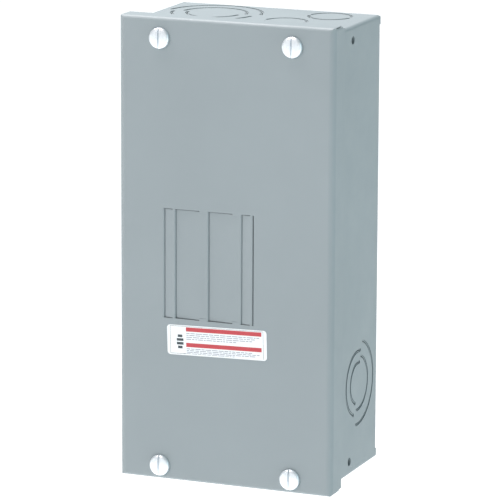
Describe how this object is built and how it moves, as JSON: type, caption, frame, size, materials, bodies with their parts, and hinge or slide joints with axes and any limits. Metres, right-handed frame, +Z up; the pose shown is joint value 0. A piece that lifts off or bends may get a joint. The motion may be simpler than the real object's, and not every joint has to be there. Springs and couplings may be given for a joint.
{
  "type": "surface-mounted load center",
  "caption": "Shallow upright sheet-steel distribution box with a screw-on cover, tied breaker knockouts and conduit knockouts, holding a small bus interior with lugs and a neutral bar.",
  "frame": {"origin": "middle of the back face of the box, on the wall", "axes": "+X to the right seen from the front, +Y into the wall, +Z up along the height"},
  "size_m": [0.12, 0.0783, 0.2465],
  "materials": {
    "grey_enamel": "baked blue-grey enamel, slight orange peel",
    "zinc_plate": "bright zinc plated screws",
    "label_stock": "white printed sticker, semi-gloss",
    "galvanized": "galvanized sheet",
    "black_moulding": "moulded phenolic",
    "tinned_bus": "tin-plated bar",
    "lug_aluminium": "extruded aluminium",
    "green_finish": "green bonding screw"
  },
  "bodies": {
    "box": {"box_shell": "grey_enamel", "top_end_wall": "grey_enamel", "bottom_end_wall": "grey_enamel", "interior_pan": "galvanized", "pan_screws": "zinc_plate", "insulator_base": "black_moulding", "insulator_screws": "zinc_plate", "bus_bar_screws": "zinc_plate", "lug_fixing_screws": "zinc_plate", "hook_rail": "galvanized", "hook_rail_rivets": "zinc_plate", "neutral_support": "black_moulding", "neutral_support_screws": "zinc_plate", "neutral_bar": "lug_aluminium", "neutral_bar_screws": "zinc_plate", "neutral_lug": "lug_aluminium", "neutral_lug_fixing_screw": "zinc_plate", "bonding_screw": "green_finish", "bus_bar_a": "tinned_bus", "bus_bar_b": "tinned_bus", "main_lug_a": "lug_aluminium", "main_lug_b": "lug_aluminium"},
    "cover": {"front_cover": "grey_enamel", "cover_label": "label_stock"},
    "cover_screw_top_left": {"cover_screw_top_left": "zinc_plate"},
    "cover_screw_top_right": {"cover_screw_top_right": "zinc_plate"},
    "cover_screw_bottom_left": {"cover_screw_bottom_left": "zinc_plate"},
    "cover_screw_bottom_right": {"cover_screw_bottom_right": "zinc_plate"},
    "main_lug_screw_a": {"main_lug_screw_a": "zinc_plate"},
    "main_lug_screw_b": {"main_lug_screw_b": "zinc_plate"},
    "neutral_lug_screw": {"neutral_lug_screw": "zinc_plate"},
    "terminal_screw_1": {"terminal_screw_1": "zinc_plate"},
    "terminal_screw_2": {"terminal_screw_2": "zinc_plate"},
    "terminal_screw_3": {"terminal_screw_3": "zinc_plate"},
    "terminal_screw_4": {"terminal_screw_4": "zinc_plate"},
    "terminal_screw_5": {"terminal_screw_5": "zinc_plate"},
    "terminal_screw_6": {"terminal_screw_6": "zinc_plate"}
  },
  "joints": [
    {"name": "cover_lift", "type": "slide", "parent": "box", "child": "cover", "axis": [0, -1, 0], "range_m": [0, 0.15]},
    {"name": "screw_turn_top_left", "type": "hinge", "parent": "cover", "child": "cover_screw_top_left", "pos_m": [-0.0369, -0.076, 0.1128], "axis": [0, -1, 0], "continuous": true},
    {"name": "screw_turn_top_right", "type": "hinge", "parent": "cover", "child": "cover_screw_top_right", "pos_m": [0.0369, -0.076, 0.1128], "axis": [0, -1, 0], "continuous": true},
    {"name": "screw_turn_bottom_left", "type": "hinge", "parent": "cover", "child": "cover_screw_bottom_left", "pos_m": [-0.0369, -0.076, -0.1153], "axis": [0, -1, 0], "continuous": true},
    {"name": "screw_turn_bottom_right", "type": "hinge", "parent": "cover", "child": "cover_screw_bottom_right", "pos_m": [0.0369, -0.076, -0.1153], "axis": [0, -1, 0], "continuous": true},
    {"name": "main_lug_clamp_a", "type": "slide", "parent": "box", "child": "main_lug_screw_a", "axis": [0, 1, 0], "range_m": [0, 0.0085]},
    {"name": "main_lug_clamp_b", "type": "slide", "parent": "box", "child": "main_lug_screw_b", "axis": [0, 1, 0], "range_m": [0, 0.0085]},
    {"name": "neutral_lug_clamp", "type": "slide", "parent": "box", "child": "neutral_lug_screw", "axis": [0, 1, 0], "range_m": [0, 0.0085]},
    {"name": "terminal_clamp_1", "type": "slide", "parent": "box", "child": "terminal_screw_1", "axis": [0, 1, 0], "range_m": [0, 0.0045]},
    {"name": "terminal_clamp_2", "type": "slide", "parent": "box", "child": "terminal_screw_2", "axis": [0, 1, 0], "range_m": [0, 0.0045]},
    {"name": "terminal_clamp_3", "type": "slide", "parent": "box", "child": "terminal_screw_3", "axis": [0, 1, 0], "range_m": [0, 0.0045]},
    {"name": "terminal_clamp_4", "type": "slide", "parent": "box", "child": "terminal_screw_4", "axis": [0, 1, 0], "range_m": [0, 0.0045]},
    {"name": "terminal_clamp_5", "type": "slide", "parent": "box", "child": "terminal_screw_5", "axis": [0, 1, 0], "range_m": [0, 0.0045]},
    {"name": "terminal_clamp_6", "type": "slide", "parent": "box", "child": "terminal_screw_6", "axis": [0, 1, 0], "range_m": [0, 0.0045]}
  ]
}
